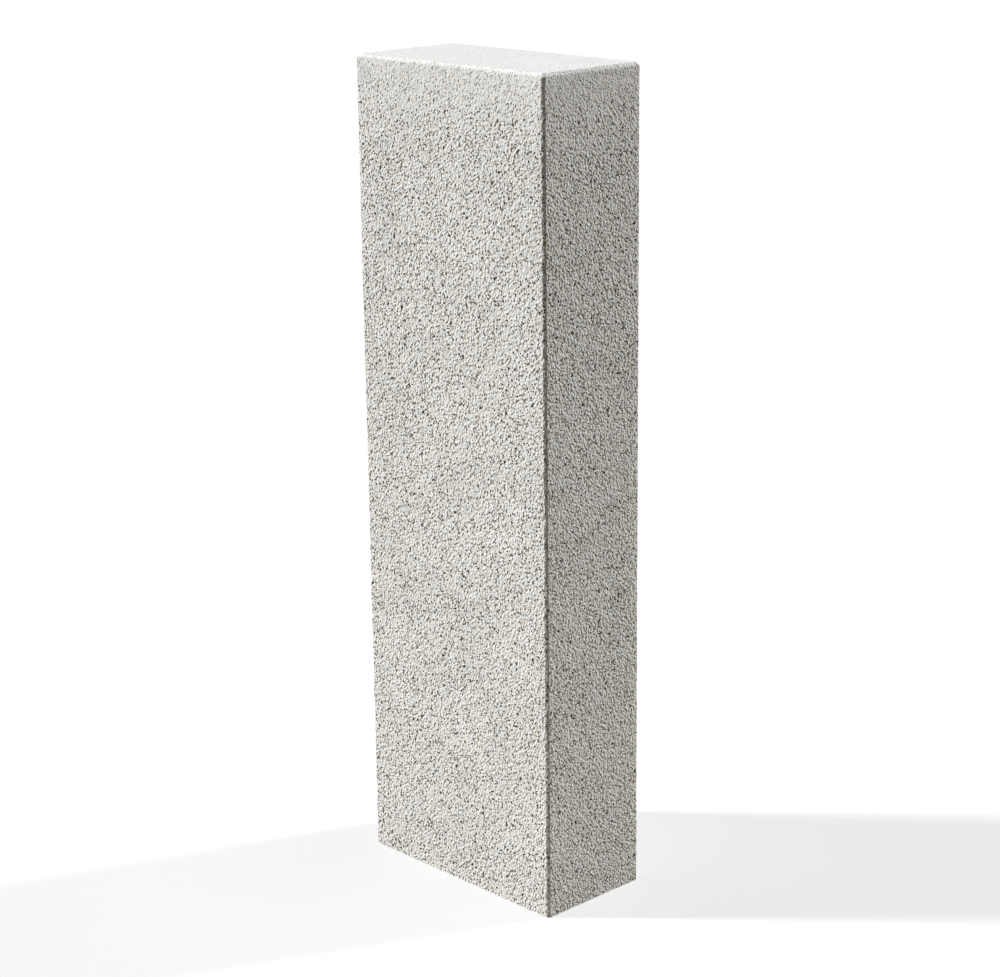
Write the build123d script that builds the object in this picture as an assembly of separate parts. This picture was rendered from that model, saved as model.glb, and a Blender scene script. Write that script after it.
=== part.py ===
from build123d import *
import os

# Concrete palisade: one cast block, stood on end in a row for edging and low retaining walls.
# Millimetres. +Z is up, +X runs along the wide face and -Y points out of the front face.
# The origin is the centre of the foot.

width = 250
depth = 125
height = 800
arris_bevel = 3


def cast_block():
    """The block as it leaves its mould."""
    block = Box(width, depth, height, align=(Align.CENTER, Align.CENTER, Align.MIN))

    # The mould's corner strips bevel the four upright arrises from head to foot.
    uprights = block.edges().filter_by(Axis.Z)
    block = chamfer(uprights, arris_bevel)

    # The tamper's rim bevels the head all round, and passes over the upright bevels at the corners.
    # The foot lies on the mould's board, so its arrises stay square.
    head = block.faces().sort_by(Axis.Z)[-1]
    return chamfer(head.edges(), arris_bevel)


os.makedirs("parts", exist_ok=True)
export_step(cast_block(), "parts/palisade_block.step")
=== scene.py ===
"""Concrete palisade, dressed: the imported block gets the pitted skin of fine-blasted concrete.

The block is one casting, so one closed mesh stands for it. The skin's lengths are in millimetres
and are turned into metres when the mesh is made.
"""

import math

import bpy
import numpy as np
from mathutils import Matrix, Vector, noise
from mathutils.geometry import delaunay_2d_cdt


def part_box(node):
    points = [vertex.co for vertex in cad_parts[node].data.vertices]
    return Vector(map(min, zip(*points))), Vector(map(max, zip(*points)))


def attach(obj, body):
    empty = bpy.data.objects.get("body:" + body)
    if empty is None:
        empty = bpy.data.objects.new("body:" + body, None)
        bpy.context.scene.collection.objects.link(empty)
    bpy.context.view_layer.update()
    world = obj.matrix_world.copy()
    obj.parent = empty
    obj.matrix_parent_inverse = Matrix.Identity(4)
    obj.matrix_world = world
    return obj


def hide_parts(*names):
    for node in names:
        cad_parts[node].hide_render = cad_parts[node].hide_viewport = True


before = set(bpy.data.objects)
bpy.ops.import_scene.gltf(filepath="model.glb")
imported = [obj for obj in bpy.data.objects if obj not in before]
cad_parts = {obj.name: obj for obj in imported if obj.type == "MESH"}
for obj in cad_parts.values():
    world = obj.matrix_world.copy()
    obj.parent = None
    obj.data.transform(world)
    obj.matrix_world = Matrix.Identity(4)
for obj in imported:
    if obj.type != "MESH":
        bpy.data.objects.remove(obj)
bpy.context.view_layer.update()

rng = np.random.default_rng(7)

MM = 0.001

# The block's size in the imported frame, and the width of its bevels
low_corner, high_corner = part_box("palisade_block")
width, depth, height = (high_corner - low_corner) / MM
bevel = 3.0
shoulder = height - bevel

# A point this near to a plane of the block lies on it
touching = 0.001

# Steps between the skin's vertices, and how far they stray from them, as a share of a step
arris_step = 3.0
side_step = 7.0
head_step = 5.0
foot_step = 7.0
stray_share = 0.3

# How deep the skin lies under the planes of the sides and of the head and foot, pits apart
side_hollow = 0.3
end_hollow = 0.12

# Wear of the arrises: a little everywhere, and chips at some of the vertices
arris_wear = 0.3
chip_wear = (0.2, 0.8)
chipped_share = 0.22

# Shares of that wear on the arrises round the foot, under the head's bevel and over it
foot_wear_share = 1.0
shoulder_wear_share = 0.5
head_wear_share = 0.3

# Half length, half breadth and depth of the small pits, and of the few large ones
small_pit = ((1.0, 1.9), (0.7, 1.2), (0.7, 1.3))
large_pit = ((1.8, 2.5), (1.2, 1.7), (1.2, 1.5))
large_pit_share = 0.08
pit_rim_depth = 0.15

# What a pit keeps free round it, and what pits and other vertices keep to the arrises of the head
# and the foot
pit_gap = 0.25
end_pit_gap = 0.2
end_ground_gap = 1.0

# How many pits the blasted sides have, how many the struck head and foot have and how deep, as a
# share of those of the sides, and how many throws each pit gets when they are scattered
side_pits = 13000
head_pits = 60
head_pit_share = 0.35
foot_pits = 80
foot_pit_share = 0.6
throws_a_pit = 12

# Pits crowd in the seams between pebbles, and a little more in some large patches than in others.
# A seam's breadth is a share of a pebble.
pebble_size = 13.0
seam_share = 0.28
patch_size = 60.0

# In this strip below the head the pits grow shallower, down to that share
calm_strip = 40.0
calm_share = 0.4

# Gap between the faces on the UV sheet
sheet_gap = 4.0

# The struck zone of the head starts this far above the shoulder, at a line that wanders and is a
# little blurred. That of the foot ends between these heights.
struck_edge = 1.1
struck_edge_wander = 8.0
struck_edge_blur = 0.5
foot_edge = (1.2, 0.3)

# Blur of the line where the painted highlight on the head's bevels ends
rim_blur = 0.3

# Height of the material's bump, which is weaker in this strip below the head
bump_height = 1.75
calm_bump_strip = 90.0

# Linear colours of the concrete
grey_cement = (0.66, 0.711, 0.735)
warm_sand = (0.707, 0.709, 0.673)
# The brown of the hollows is partly their warm sand and partly painted shade
brown_and_shaded_hollow = (0.555, 0.436, 0.325)
# Painted shade at the bottoms of the bump's small pits
small_pit_painted_shade = (0.16, 0.088, 0.04)
# Painted shade at the bottoms of the pits that the mesh has
mesh_pit_painted_shade = (0.085, 0.048, 0.025)
struck_cement = (0.65, 0.65, 0.645)
# A painted highlight on the head's bevels
rim_painted_highlight = (0.85, 0.85, 0.845)
struck_speckle = (0.50, 0.50, 0.49)

# Linear colours of the floor and the world, as the camera sees them and as they light the block
seen_floor = (0.9, 0.9, 0.9)
lit_floor = (0.38, 0.345, 0.293)
seen_world = (1, 1, 1)
lit_world = (0.06, 0.056, 0.05)
floor_glow_share = 0.5

# Half the floor's side and the distance of the lamps, in metres
floor_half = 1.5
lamp_distance = 4.0

# The photo's camera, from a fit of the block's edges. Its sensor is in millimetres, its place in
# metres and its angles in degrees.
image_width = 1000
focal_pixels = 2460.3
sensor_width = 36.0
camera_place = (1.6453, -1.5678, 1.0486)
camera_azimuth = 46.393
camera_dip = 16.183
camera_roll = -0.696


def outline():
    """Plan corners of the eight-sided section, anticlockwise from the left face's back arris."""
    x, y, b = width / 2, depth / 2, bevel
    return np.array([(-x, y - b), (-x, b - y), (b - x, -y), (x - b, -y),
                     (x, b - y), (x, y - b), (x - b, y), (b - x, y)])


corners = outline()
closed = np.vstack([corners, corners[:1]])
along = np.concatenate([[0], np.cumsum(np.linalg.norm(np.diff(closed, axis=0), axis=1))])
girth = along[-1]


def on_sides(flat):
    """Points in space of the flat points (distance along the outline, height) on the unrolled sides."""
    return np.column_stack([
        np.interp(flat[:, 0], along, closed[:, 0]),
        np.interp(flat[:, 0], along, closed[:, 1]),
        flat[:, 1],
    ])


def inset(plan):
    """How far inside the outline each plan point lies."""
    edges = np.diff(closed, axis=0)
    inward = np.column_stack([-edges[:, 1], edges[:, 0]]) / np.linalg.norm(edges, axis=1)[:, None]
    return ((plan[:, None] - corners) * inward).sum(2).min(1)


def on_head(plan):
    """Points in space of plan points on the head, its bevels among them."""
    return np.column_stack([plan, shoulder + np.clip(inset(plan), 0, bevel)])


def on_foot(plan):
    """Points in space of plan points on the foot."""
    return np.column_stack([plan, np.zeros(len(plan))])


def block_planes():
    """Outward normals and distances from the origin of the block's eighteen faces."""
    planes = [((0, 0, 1), height), ((0, 0, -1), 0)]
    edges = np.diff(closed, axis=0)
    for corner, (ex, ey) in zip(corners, edges):
        side = np.array([ey, -ex, 0]) / math.hypot(ex, ey)
        reach = side[:2] @ corner
        planes.append((side, reach))
        slope = (side + (0, 0, 1)) / math.sqrt(2)
        planes.append((slope, (reach + shoulder) / math.sqrt(2)))
    return np.array([p[0] for p in planes], float), np.array([p[1] for p in planes], float)


plane_normals, plane_reaches = block_planes()


def planes_at(places):
    """Which of the block's faces each point lies on: a row for each point, a column for each face."""
    return np.abs(places @ plane_normals.T - plane_reaches) < touching


def inward_of(places):
    """Direction into the block at points on its surface, shared by the faces that meet there."""
    out = planes_at(places).astype(float) @ plane_normals
    return -out / np.linalg.norm(out, axis=1)[:, None]


class Face:
    """A face laid flat while it is filled: its points, their vertex numbers, and edges to keep."""

    def __init__(self):
        self.points = []
        self.numbers = []
        self.edges = []
        self.count = 0

    def take(self, points, numbers):
        """Adds points that have those vertex numbers, and returns their places on the face."""
        self.points.append(points)
        self.numbers.append(numbers)
        self.count += len(points)
        return np.arange(self.count - len(points), self.count)


class Skin:
    """The block's surface while it is made: vertices, their depth, and triangles with UV corners."""

    def __init__(self):
        self.places = []
        self.depths = []
        self.pits = []
        self.triangles = []
        self.sheet = []
        self.count = 0

    def add(self, places, depths, pits=None):
        """Adds vertices and returns their numbers."""
        self.places.append(places)
        self.depths.append(np.broadcast_to(depths, len(places)))
        self.pits.append(np.zeros(len(places)) if pits is None else pits)
        numbers = np.arange(self.count, self.count + len(places))
        self.count += len(places)
        return numbers

    def cover(self, face, to_sheet, seen_from_inside=False):
        """Fills a face with triangles. to_sheet gives the places of its points on the UV sheet."""
        inside_only, tolerance, name_origins = 1, 1e-5, True
        points = np.vstack(face.points)
        numbers = np.concatenate(face.numbers)
        vectors = [Vector(p) for p in points.tolist()]
        result = delaunay_2d_cdt(vectors, face.edges, [], inside_only, tolerance, name_origins)
        kept = np.array([origin[0] for origin in result[3]])
        triangles = kept[np.array(result[2])]
        if seen_from_inside:
            triangles = triangles[:, ::-1]
        self.triangles.append(numbers[triangles])
        self.sheet.append(to_sheet(points)[triangles])


def spaced(length, step):
    """Distances along a line of that length, unevenly about a step apart, with both ends."""
    count = max(1, round(length / step))
    marks = np.linspace(0, length, count + 1)
    marks[1:-1] += rng.uniform(-stray_share, stray_share, count - 1) * length / count
    return marks


def strewn(across, up):
    """Points of an uneven grid, that many across and up, over a square with sides of 1."""
    x, y = np.meshgrid((np.arange(across) + 0.5) / across, (np.arange(up) + 0.5) / up)
    x = x.ravel() + rng.uniform(-stray_share, stray_share, x.size) / across
    y = y.ravel() + rng.uniform(-stray_share, stray_share, y.size) / up
    return np.column_stack([x, y])


def arris_depths(count):
    """How far an arris is worn in at each of its vertices."""
    worn = rng.uniform(0, arris_wear, count)
    chips = rng.random(count) < chipped_share
    return worn + chips * rng.uniform(*chip_wear, count)


def chain(numbers):
    """Edges that join these points in turn."""
    return list(zip(numbers[:-1].tolist(), numbers[1:].tolist()))


def loop(numbers):
    """Edges that join these points in turn, and the last to the first."""
    return chain(np.append(numbers, numbers[0]))


class Spots:
    """Round spots on a flat region, sorted into square cells so that near ones are found quickly."""

    def __init__(self, largest_reach):
        self.cell = 2 * largest_reach
        self.cells = {}
        self.middles = []

    def cell_of(self, x, y):
        """Column and row of the cell that holds a place."""
        return int(x // self.cell), int(y // self.cell)

    def add(self, x, y, reach):
        """Adds a spot of that radius."""
        self.cells.setdefault(self.cell_of(x, y), []).append((x, y, reach))
        self.middles.append((x, y))

    def touch(self, x, y, reach=0.0):
        """Whether one of the spots touches a round place of that radius."""
        column, row = self.cell_of(x, y)
        for i in (-1, 0, 1):
            for j in (-1, 0, 1):
                for sx, sy, r in self.cells.get((column + i, row + j), ()):
                    if (x - sx) ** 2 + (y - sy) ** 2 < (reach + r) ** 2:
                        return True
        return False


def scattered(reaches, region, room, chance):
    """Spots of those radii that don't touch, thrown like darts on a flat region.

    room says how large a spot fits at a place, and chance how often a spot is kept there.
    """
    spots = Spots(max(reaches))
    (x0, x1), (y0, y1) = region
    for _ in range(throws_a_pit * len(reaches)):
        if len(spots.middles) == len(reaches):
            break
        x, y, luck = rng.uniform(x0, x1), rng.uniform(y0, y1), rng.random()
        reach = reaches[len(spots.middles)]
        if room(x, y) < reach or luck > chance(x, y) or spots.touch(x, y, reach):
            continue
        spots.add(x, y, reach)
    return spots


def off_spots(points, spots):
    """Which points lie outside all the spots."""
    return np.array([not spots.touch(x, y) for x, y in points.tolist()])


def pit_shapes(count):
    """Half length, half breadth and depth of each pit: many small ones and a few large ones."""
    shapes = [rng.uniform(*sizes, count) for sizes in small_pit]
    large = rng.random(count) < large_pit_share
    for values, sizes in zip(shapes, large_pit):
        values[large] = rng.uniform(*sizes, large.sum())
    return shapes


def pit_points(spots, shapes):
    """Six points a pit, two at its bottom and four round its rim.

    Returns the flat points, their depths, and 1 for each bottom point and 0 for each rim point.
    """
    middles = np.array(spots.middles)
    count = len(middles)
    half_length, half_breadth, deep = (values[:count] for values in shapes)

    # How far the bottom and rim points lie from the middle, how far the rim points lean off the
    # pit's axes, and how deep the bottom is, as shares of the pit's half length, breadth and depth
    bottom_shade_share = 0.42
    bottom_stray_shares = (0.7, 1.2)
    bottom_depth_shares = (0.75, 1)
    rim_shares = (0.85, 1)
    end_lean_share = 0.3
    side_lean_share = 0.35

    turn = rng.uniform(0, math.pi, count)
    axis = np.column_stack([np.cos(turn), np.sin(turn)])
    across = np.column_stack([-axis[:, 1], axis[:, 0]])
    points, depths, pits = [], [], []
    for end in (-1, 1):
        shift = bottom_shade_share * end * half_length * rng.uniform(*bottom_stray_shares, count)
        points.append(middles + axis * shift[:, None])
        depths.append(deep * rng.uniform(*bottom_depth_shares, count))
        pits.append(np.ones(count))
    for end in (-1, 1):
        tip = end * half_length * rng.uniform(*rim_shares, count)
        lean = half_breadth * rng.uniform(-end_lean_share, end_lean_share, count)
        points.append(middles + axis * tip[:, None] + across * lean[:, None])
        tip = end * half_breadth * rng.uniform(*rim_shares, count)
        lean = half_length * rng.uniform(-side_lean_share, side_lean_share, count)
        points.append(middles + across * tip[:, None] + axis * lean[:, None])
        depths += [rng.uniform(0, pit_rim_depth, count), rng.uniform(0, pit_rim_depth, count)]
        pits += [np.zeros(count), np.zeros(count)]
    return np.vstack(points), np.concatenate(depths), np.concatenate(pits)


def pebbly(x, y):
    """Chance of a pit: high in the seams between pebbles, low on them."""
    seam_chance = 1.0
    pebble_chance = 0.45
    middle_share = 0.75
    patch_share = 0.5
    patch_shift = 50
    near = noise.voronoi(Vector((x, y, 0)) / pebble_size)[0]
    patch = noise.noise(Vector((x, y, patch_shift)) / patch_size)
    in_seam = near[1] - near[0] < seam_share
    return (seam_chance if in_seam else pebble_chance) * (middle_share + patch_share * patch)


def everywhere(x, y):
    """Chance of a pit on the head and the foot: the same all over."""
    return 1


def make_rings(skin):
    """Vertices of the arrises round the foot and under the head's bevel.

    For each level these are the distances along the outline and the vertex numbers, with the first
    vertex again at the end.
    """
    rings = {}
    for level, wear_share in ((0, foot_wear_share), (shoulder, shoulder_wear_share)):
        marks = np.concatenate([
            start + spaced(end - start, arris_step)[:-1] for start, end in zip(along[:-1], along[1:])
        ])
        places = on_sides(np.column_stack([marks, np.full(len(marks), level)]))
        numbers = skin.add(places, arris_depths(len(marks)) * wear_share)
        rings[level] = (np.append(marks, girth), np.append(numbers, numbers[0]))
    return rings


def make_sides(skin, rings):
    """The unrolled faces and upright bevels, from the foot to the head's bevel."""
    face = Face()
    ring_corners = []
    for level, (marks, numbers) in rings.items():
        own = face.take(np.column_stack([marks, np.full(len(marks), level)]), numbers)
        face.edges += chain(own)
        ring_corners.append([own[np.argmin(np.abs(marks - place))] for place in along])

    # The unrolled sides end on the arris on which they begin.
    lines = []
    for place in along[:-1]:
        rises = spaced(shoulder, arris_step)[1:-1]
        points = np.column_stack([np.full(len(rises), place), rises])
        lines.append((points, skin.add(on_sides(points), arris_depths(len(rises)))))
    first_points, first_numbers = lines[0]
    lines.append((first_points + (girth, 0), first_numbers))
    for line, low, high in zip(lines, *ring_corners):
        face.edges += chain(np.concatenate([[low], face.take(*line), [high]]))

    def room(x, y):
        return min(np.abs(along - x).min(), y, shoulder - y)

    shapes = pit_shapes(side_pits)
    spots = scattered(shapes[0] + pit_gap, ((0, girth), (0, shoulder)), room, pebbly)
    print("pits on the sides", len(spots.middles))
    points, depths, pits = pit_points(spots, shapes)
    calm = np.interp(points[:, 1], (shoulder - calm_strip, shoulder), (1.0, calm_share))
    face.take(points, skin.add(on_sides(points), depths * calm, pits * calm))

    for start, end in zip(along[:-1], along[1:]):
        across = max(1, round((end - start) / side_step))
        up = round(shoulder / (arris_step if across == 1 else side_step))
        ground = strewn(across, up) * (end - start, shoulder) + (start, 0)
        ground = ground[off_spots(ground, spots)]
        face.take(ground, skin.add(on_sides(ground), rng.uniform(0, side_hollow, len(ground))))

    def to_sheet(points):
        return points + sheet_gap

    skin.cover(face, to_sheet)


def corner_inset(n):
    """Plan corner n of the head's flat face, a bevel's width inside the outline."""
    before, here, after = corners[n - 1], corners[n], corners[(n + 1) % len(corners)]
    arriving = (here - before) / np.linalg.norm(here - before)
    leaving = (after - here) / np.linalg.norm(after - here)
    inward = [np.array([-d[1], d[0]]) for d in (arriving, leaving)]
    return here + np.linalg.solve(np.array(inward), [bevel, bevel])


def head_arris():
    """Plan points along the arris between the head's flat face and its bevels."""
    flat_corners = np.array([corner_inset(n) for n in range(len(corners))])
    points = []
    for start, end in zip(flat_corners, np.roll(flat_corners, -1, axis=0)):
        length = np.linalg.norm(end - start)
        marks = spaced(length, arris_step)[:-1]
        points.append(start + (end - start) * (marks / length)[:, None])
    return np.vstack(points)


def make_end(skin, ring, place, step, pit_count, pit_share, sheet_place):
    """The head or the foot, seen in plan and filled in from its ring of vertices."""
    is_head = place is on_head
    margin = bevel if is_head else 0
    face = Face()
    marks, numbers = ring
    outer = on_sides(np.column_stack([marks[:-1], np.zeros(len(marks) - 1)]))[:, :2]
    face.edges += loop(face.take(outer, numbers[:-1]))
    if is_head:
        inner = head_arris()
        inner_numbers = skin.add(place(inner), arris_depths(len(inner)) * head_wear_share)
        face.edges += loop(face.take(inner, inner_numbers))

    def room(x, y):
        return inset(np.array([(x, y)]))[0] - margin - end_pit_gap

    shapes = pit_shapes(pit_count)
    region = ((-width / 2, width / 2), (-depth / 2, depth / 2))
    spots = scattered(shapes[0] + pit_gap, region, room, everywhere)
    points, depths, pits = pit_points(spots, shapes)
    face.take(points, skin.add(place(points), depths * pit_share, pits * pit_share))

    ground = (strewn(round(width / step), round(depth / step)) - 0.5) * (width, depth)
    ground = ground[(inset(ground) > margin + end_ground_gap) & off_spots(ground, spots)]
    face.take(ground, skin.add(place(ground), rng.uniform(0, end_hollow, len(ground))))

    def to_sheet(points):
        return points[:, ::-1] + sheet_place

    skin.cover(face, to_sheet, seen_from_inside=not is_head)


def make_block():
    """The whole skin as one closed mesh."""
    skin = Skin()
    rings = make_rings(skin)
    make_sides(skin, rings)
    sheet_size = (girth + depth + 3 * sheet_gap, shoulder + 2 * sheet_gap)
    end_middle = girth + 2 * sheet_gap + depth / 2
    make_end(skin, rings[shoulder], on_head, head_step, head_pits, head_pit_share,
             (end_middle, sheet_gap + width / 2))
    make_end(skin, rings[0], on_foot, foot_step, foot_pits, foot_pit_share,
             (end_middle, 2 * sheet_gap + 1.5 * width))

    places = np.vstack(skin.places)
    depths = np.concatenate(skin.depths)
    vertices = (places + inward_of(places) * depths[:, None]) * MM
    triangles = np.vstack(skin.triangles)
    sheet = np.vstack(skin.sheet) / sheet_size
    print("vertices", len(vertices), "triangles", len(triangles))

    sharp_angle = math.radians(28)
    mesh = bpy.data.meshes.new("palisade_skin")
    mesh.from_pydata(vertices.tolist(), [], triangles.tolist())
    uv = mesh.uv_layers.new(name="OFBake")
    uv.data.foreach_set("uv", sheet.reshape(-1))
    pit = mesh.attributes.new("pit", "FLOAT", "POINT")
    pit.data.foreach_set("value", np.concatenate(skin.pits).astype(np.float32))
    mesh.polygons.foreach_set("use_smooth", np.ones(len(triangles), bool))
    mesh.set_sharp_from_angle(angle=sharp_angle)
    mesh.validate()
    round_bevels(mesh, places, triangles)
    block = bpy.data.objects.new("palisade_skin", mesh)
    bpy.context.scene.collection.objects.link(block)
    return block


def round_bevels(mesh, places, triangles):
    """Lets the shading turn over the worn upright bevels, and no further than the faces beside them."""
    upright = np.isclose(plane_normals[:, 2], 0)
    slanting = upright & ~np.isclose(plane_normals[:, :2], 0).any(1)
    on_plane = planes_at(places)
    on_arris = on_plane[:, upright].sum(1) > 1

    ends = np.empty(2 * len(mesh.edges), int)
    mesh.edges.foreach_get("vertices", ends)
    sharp = np.empty(len(mesh.edges), bool)
    marks = mesh.attributes["sharp_edge"].data
    marks.foreach_get("value", sharp)
    marks.foreach_set("value", sharp | on_arris[ends.reshape(-1, 2)].all(1))
    mesh.update()

    at_corner = np.empty(3 * len(mesh.loops))
    mesh.corner_normals.foreach_get("vector", at_corner)
    at_vertex = np.empty(3 * len(mesh.vertices))
    mesh.vertex_normals.foreach_get("vector", at_vertex)
    at_corner = at_corner.reshape(-1, 3)
    in_bevel = on_plane[:, slanting][triangles].all(1).any(1)
    turned = (in_bevel[:, None] & on_arris[triangles]).ravel()
    at_corner[turned] = at_vertex.reshape(-1, 3)[triangles.ravel()[turned]]
    mesh.normals_split_custom_set(at_corner.tolist())


class Nodes:
    """A short way to write the nodes of a material or of the world."""

    def __init__(self, holder):
        holder.use_nodes = True
        self.tree = holder.node_tree
        self.tree.nodes.clear()

    def add(self, kind, settings=(), **inputs):
        """A node, with its settings and its inputs by name or, as _0, by number."""
        node = self.tree.nodes.new(kind)
        for name, value in dict(settings).items():
            setattr(node, name, value)
        for name, value in inputs.items():
            socket = node.inputs[int(name[1:]) if name[0] == "_" else name.replace("_", " ")]
            if isinstance(value, bpy.types.NodeSocket):
                self.tree.links.new(value, socket)
            else:
                socket.default_value = value
        return node

    def math(self, operation, *values, clamp=False):
        """Arithmetic on numbers and other nodes' outputs."""
        inputs = {f"_{n}": value for n, value in enumerate(values)}
        settings = {"operation": operation, "use_clamp": clamp}
        return self.add("ShaderNodeMath", settings, **inputs).outputs[0]

    def spread(self, value, low, high):
        """A value between 0 and 1, spread from the low number to the high one."""
        return self.math("MULTIPLY_ADD", value, high - low, low)

    def moved(self, place, shift):
        """The place, moved by as much along every axis."""
        node = self.add("ShaderNodeVectorMath", {"operation": "ADD"}, _0=place, _1=(shift,) * 3)
        return node.outputs[0]

    def noise(self, place, scale, detail, shift=0.0):
        """Noise between 0 and 1, with that many cells a metre."""
        vector = self.moved(place, shift)
        return self.add("ShaderNodeTexNoise", Vector=vector, Scale=scale, Detail=detail).outputs["Fac"]

    def cells(self, place, scale, shift=0.0):
        """Distance to the nearest of scattered points, in cells, with that many cells a metre."""
        vector = self.moved(place, shift)
        return self.add("ShaderNodeTexVoronoi", Vector=vector, Scale=scale).outputs["Distance"]

    def ramp(self, value, start, end):
        """0 up to the start value, 1 from the end value, and smooth between."""
        node = self.add("ShaderNodeMapRange", {"interpolation_type": "SMOOTHSTEP"},
                        Value=value, From_Min=start, From_Max=end)
        return node.outputs["Result"]

    def blend(self, factor, first, second, kind="MIX"):
        """Colour mix. Each colour is three numbers or another node's output."""
        node = self.add("ShaderNodeMix", {"data_type": "RGBA", "blend_type": kind}, _0=factor)
        for number, value in ((6, first), (7, second)):
            if isinstance(value, bpy.types.NodeSocket):
                self.tree.links.new(value, node.inputs[number])
            else:
                node.inputs[number].default_value = (*value, 1)
        return node.outputs[2]

    def overlaid(self, colour, where, share, overlay_colour):
        """The colour, with that share of the overlay colour where the second value is 1, for real
        speckle and for painted shade alike.
        """
        return self.blend(self.math("MULTIPLY", where, share), colour, overlay_colour)


def struck_zones(n, place, level):
    """1 on the foot and on the head with its bevels' upper part, which were struck smooth, else 0."""
    ragged = n.math("MULTIPLY_ADD", n.noise(place, scale=260.0, detail=1.0),
                    struck_edge_wander * MM, level)
    head_start = (shoulder + struck_edge + struck_edge_wander / 2) * MM
    blur = struck_edge_blur * MM
    on_head_zone = n.ramp(ragged, head_start - blur, head_start + blur)
    on_foot_zone = n.ramp(level, foot_edge[0] * MM, foot_edge[1] * MM)
    return n.math("MAXIMUM", on_head_zone, on_foot_zone)


def fine_relief(n, turned, worked):
    """Height of the bump: rough and domed sand grains, less small round pits that come in groups."""
    grain_height, dome_height, dome_level = 0.45, 0.8, 0.36
    pit_wall = (0.36, 0.115)
    pit_depths = (0.67, 1.27)
    group_edge = (0.35, 0.65)
    grains = n.spread(n.noise(turned, scale=450.0, detail=0.0), -grain_height / 2, grain_height / 2)
    from_grain = n.cells(turned, scale=380.0, shift=3.1)
    domes = n.math("MULTIPLY_ADD", from_grain, -dome_height, dome_level)
    in_pit = n.ramp(n.cells(turned, scale=295.0), *pit_wall)
    groups = n.ramp(n.noise(turned, scale=110.0, detail=1.0, shift=5.5), *group_edge)
    pitted = n.math("MULTIPLY", in_pit, n.spread(groups, *pit_depths))
    relief = n.math("SUBTRACT", n.math("ADD", grains, domes), pitted)
    return n.math("MULTIPLY", relief, worked)


def blasted_colour(n, turned, relief):
    """Grey cement and warmer sand, brown in the hollows, partly their warm sand and partly painted
    shade, and painted shade at the bottom of the small pits.
    """
    sand_edge = (0.4, 0.6)
    hollow_levels, hollow_tint_and_shade_share = (0.12, -0.27), 0.4
    bottom_levels, bottom_shade_share = (-0.45, -0.95), 0.9
    sand = n.ramp(n.noise(turned, scale=420.0, detail=1.0, shift=1.3), *sand_edge)
    colour = n.blend(sand, grey_cement, warm_sand)
    # Brown in the hollows of the bump: partly their warm sand, partly painted shade
    colour = n.overlaid(colour, n.ramp(relief, *hollow_levels), hollow_tint_and_shade_share, brown_and_shaded_hollow)
    # Painted shade at the bottoms of the small pits of the bump
    return n.overlaid(colour, n.ramp(relief, *bottom_levels), bottom_shade_share, small_pit_painted_shade)


def struck_colour(n, turned, x, y):
    """Denser cement with a weak speckle, and a painted highlight on the head's bevels."""
    speckle_edge, speckle_share = (0.4, 0.62), 0.5
    beyond_x = n.math("SUBTRACT", n.math("ABSOLUTE", x), width / 2 * MM)
    beyond_y = n.math("SUBTRACT", n.math("ABSOLUTE", y), depth / 2 * MM)
    beyond = n.math("MAXIMUM", beyond_x, beyond_y)
    on_rim = n.ramp(beyond, -(bevel + rim_blur) * MM, -(bevel - rim_blur) * MM)
    # The head's bevels get a painted highlight
    colour = n.blend(on_rim, struck_cement, rim_painted_highlight)
    speckled = n.ramp(n.noise(turned, scale=350.0, detail=0.5, shift=7.9), *speckle_edge)
    return n.overlaid(colour, speckled, speckle_share, struck_speckle)


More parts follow.
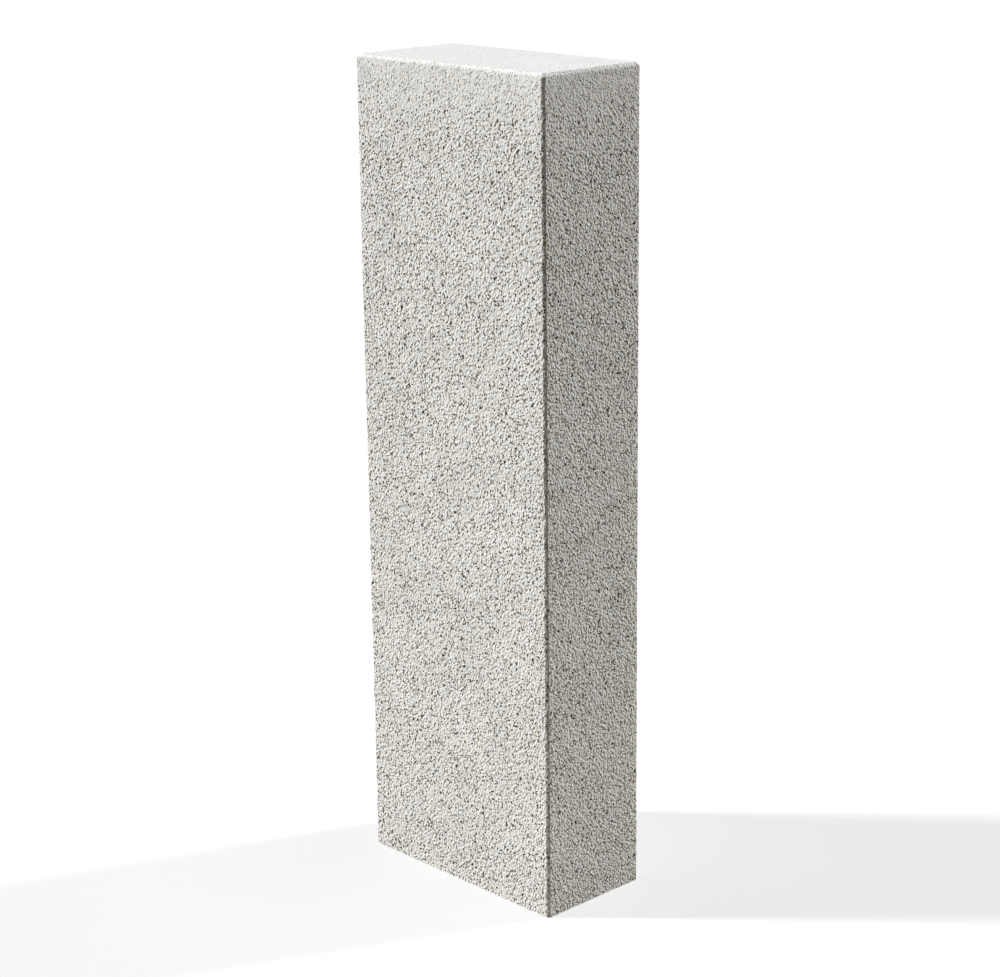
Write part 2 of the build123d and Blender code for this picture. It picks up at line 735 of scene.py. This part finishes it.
def concrete_material():
    """Fine-blasted concrete: pale cement and sand, brown in its hollows, partly painted shade, with
    painted shade in its pits and a painted highlight on the head's bevels.
    """
    turn_axis, turn_angle = (0.6, 0.7, 0.4), 0.9
    head_worked, full_worked = 0.44, 0.92
    struck_strength, blasted_strength = 0.55, 1.0
    struck_clouds, blasted_clouds, cloud_strength = 0.3, 1.0, 0.24
    # Where and how strongly the bottoms of the mesh pits get painted shade
    pit_edge, pit_share = (0.2, 0.6), 1.055

    material = bpy.data.materials.new("concrete")
    n = Nodes(material)
    place = n.add("ShaderNodeTexCoord").outputs["Object"]
    x, y, level = n.add("ShaderNodeSeparateXYZ", _0=place).outputs

    # The lattice of the noise is turned, so that no face lies along it.
    turned = n.add("ShaderNodeVectorRotate", {"rotation_type": "AXIS_ANGLE"}, Vector=place,
                   Axis=turn_axis, Angle=turn_angle).outputs[0]

    # The blasting is weaker just below the head.
    below_head = n.ramp(level, height * MM, (height - calm_bump_strip) * MM)
    worked = n.spread(below_head, head_worked, full_worked)
    struck = struck_zones(n, place, level)
    blasted = n.math("SUBTRACT", 1.0, struck)
    relief = fine_relief(n, turned, worked)
    colour = n.blend(struck, blasted_colour(n, turned, relief), struck_colour(n, turned, x, y))

    # Clouds of slightly paler and darker cement, weaker on the struck faces
    clouds = n.spread(n.noise(place, scale=18.0, detail=3.0, shift=2.1),
                      -cloud_strength / 2, cloud_strength / 2)
    pale = n.math("MULTIPLY_ADD", clouds, n.spread(blasted, struck_clouds, blasted_clouds), 1.0)
    grey = n.add("ShaderNodeCombineColor", _0=pale, _1=pale, _2=pale).outputs[0]
    colour = n.blend(1.0, colour, grey, "MULTIPLY")

    # Painted shade in the bottoms of the pits that the mesh has
    pit = n.add("ShaderNodeAttribute", {"attribute_name": "pit"}).outputs["Fac"]
    pit_shade_amount = n.math("MULTIPLY", n.ramp(pit, *pit_edge), n.math("MULTIPLY", worked, pit_share))
    colour = n.blend(pit_shade_amount, colour, mesh_pit_painted_shade)

    bump = n.add("ShaderNodeBump", Height=relief, Distance=bump_height * MM,
                 Strength=n.spread(blasted, struck_strength, blasted_strength))
    shader = n.add("ShaderNodeBsdfPrincipled", Base_Color=colour, Roughness=0.92,
                   Specular_IOR_Level=0.15, Normal=bump.outputs["Normal"])
    n.add("ShaderNodeOutputMaterial", Surface=shader.outputs[0])
    return material


def seen_directly(n):
    """1 for the camera and for what mirrors and glass show, 0 for light on the block."""
    path = n.add("ShaderNodeLightPath").outputs
    seen = n.math("ADD", path["Is Camera Ray"], path["Is Glossy Ray"])
    return n.math("ADD", seen, path["Is Transmission Ray"], clamp=True)


def make_floor():
    """A plain floor, white to the camera but for the block's soft shadow."""
    half = floor_half
    mesh = bpy.data.meshes.new("floor")
    square = [(-half, -half, 0), (half, -half, 0), (half, half, 0), (-half, half, 0)]
    mesh.from_pydata(square, [], [(0, 1, 2, 3)])
    floor = bpy.data.objects.new("floor", mesh)
    bpy.context.scene.collection.objects.link(floor)

    material = bpy.data.materials.new("floor")
    n = Nodes(material)
    seen = seen_directly(n)
    matte = n.add("ShaderNodeBsdfDiffuse", Color=n.blend(seen, lit_floor, seen_floor))
    glow = n.add("ShaderNodeEmission", Strength=1.0)
    glow_share = n.math("MULTIPLY", seen, floor_glow_share)
    mixed = n.add("ShaderNodeMixShader", _0=glow_share, _1=matte.outputs[0], _2=glow.outputs[0])
    n.add("ShaderNodeOutputMaterial", Surface=mixed.outputs[0])
    mesh.materials.append(material)
    return floor


def make_world():
    """White behind the floor, and a weak even light on the block."""
    world = bpy.data.worlds.new("studio")
    bpy.context.scene.world = world
    n = Nodes(world)
    colour = n.blend(seen_directly(n), lit_world, seen_world)
    light = n.add("ShaderNodeBackground", Color=colour, Strength=1.0)
    n.add("ShaderNodeOutputWorld", Surface=light.outputs[0])


def make_lamp(name, azimuth, elevation, level, softness):
    """A soft lamp far off.

    Azimuth is from +X towards +Y, and level is how bright a white face square to it looks.
    """
    lamp = bpy.data.lights.new(name, "SUN")
    lamp.energy = level * math.pi
    lamp.angle = math.radians(softness)
    holder = bpy.data.objects.new(name, lamp)
    turn, rise = math.radians(azimuth), math.radians(elevation)
    towards = Vector((math.cos(turn) * math.cos(rise), math.sin(turn) * math.cos(rise), math.sin(rise)))
    holder.rotation_euler = towards.to_track_quat("Z", "Y").to_euler()
    holder.location = towards * lamp_distance
    bpy.context.scene.collection.objects.link(holder)


def make_camera():
    """The camera at the photo's place, level and frame."""
    camera = bpy.data.cameras.new("camera")
    camera.sensor_width = sensor_width
    camera.lens = sensor_width * focal_pixels / image_width
    holder = bpy.data.objects.new("camera", camera)
    turn = Matrix.Rotation(math.radians(camera_azimuth), 4, "Z")
    tilt = Matrix.Rotation(math.radians(90 - camera_dip), 4, "X")
    roll = Matrix.Rotation(math.radians(camera_roll), 4, "Z")
    holder.matrix_world = Matrix.Translation(camera_place) @ turn @ tilt @ roll
    bpy.context.scene.collection.objects.link(holder)
    bpy.context.scene.camera = holder


make_camera()
make_floor()
make_world()
make_lamp("left_lamp", azimuth=-137, elevation=27, level=1.49, softness=6)
make_lamp("back_lamp", azimuth=66, elevation=25, level=1.03, softness=6)
make_lamp("top_lamp", azimuth=45, elevation=80, level=0.20, softness=20)

block = make_block()
block.data.materials.append(concrete_material())
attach(block, "root")
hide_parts("palisade_block")

bpy.context.scene.view_settings.view_transform = "Standard"
